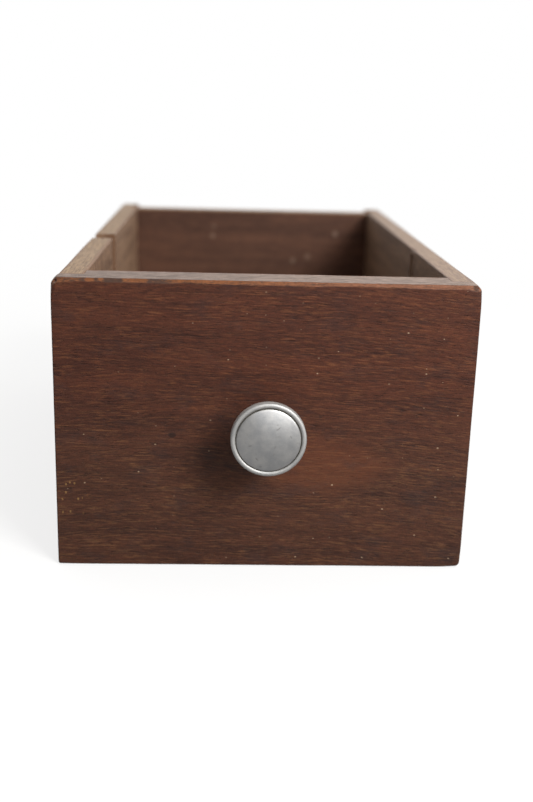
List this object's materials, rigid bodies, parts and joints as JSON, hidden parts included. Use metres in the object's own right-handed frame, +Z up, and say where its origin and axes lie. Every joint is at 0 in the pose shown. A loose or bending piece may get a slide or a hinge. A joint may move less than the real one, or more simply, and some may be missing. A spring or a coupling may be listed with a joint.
{
  "type": "type cabinet drawer",
  "caption": "Small open wooden drawer with a lapped front board, housed sides and back, a grooved bottom and one round metal knob.",
  "frame": {"origin": "middle of the underside, on the plane the bottom edges rest on, halfway between the knob's face and the rear ends of the sides", "axes": "+Z up, -Y towards the knob and the front, +Y towards the back, +X to the right seen from the front"},
  "size_m": [0.152, 0.2816, 0.1084],
  "materials": {
    "front_wood": "dark red-brown stained hardwood, thin worn finish, coarse short grain, orange bare arris",
    "side_wood": "grey-brown stained hardwood, dry and worn, paler on the top edges",
    "back_wood": "dull red-brown hardwood",
    "panel_wood": "dull brown thin board",
    "knob_metal": "satin pewter-coloured plating, tarnished in the groove",
    "zinc_steel": "dull zinc plate",
    "iron_wire": "dark, slightly rusted wire"
  },
  "bodies": {
    "root": {"front_board": "front_wood", "left_side": "side_wood", "right_side": "side_wood", "back_board": "back_wood", "bottom_panel": "panel_wood", "knob": "knob_metal", "knob_screw": "zinc_steel", "knob_screw_washer": "zinc_steel", "front_corner_brads": "iron_wire", "back_corner_brads": "iron_wire", "bottom_nails": "iron_wire"}
  },
  "joints": []
}
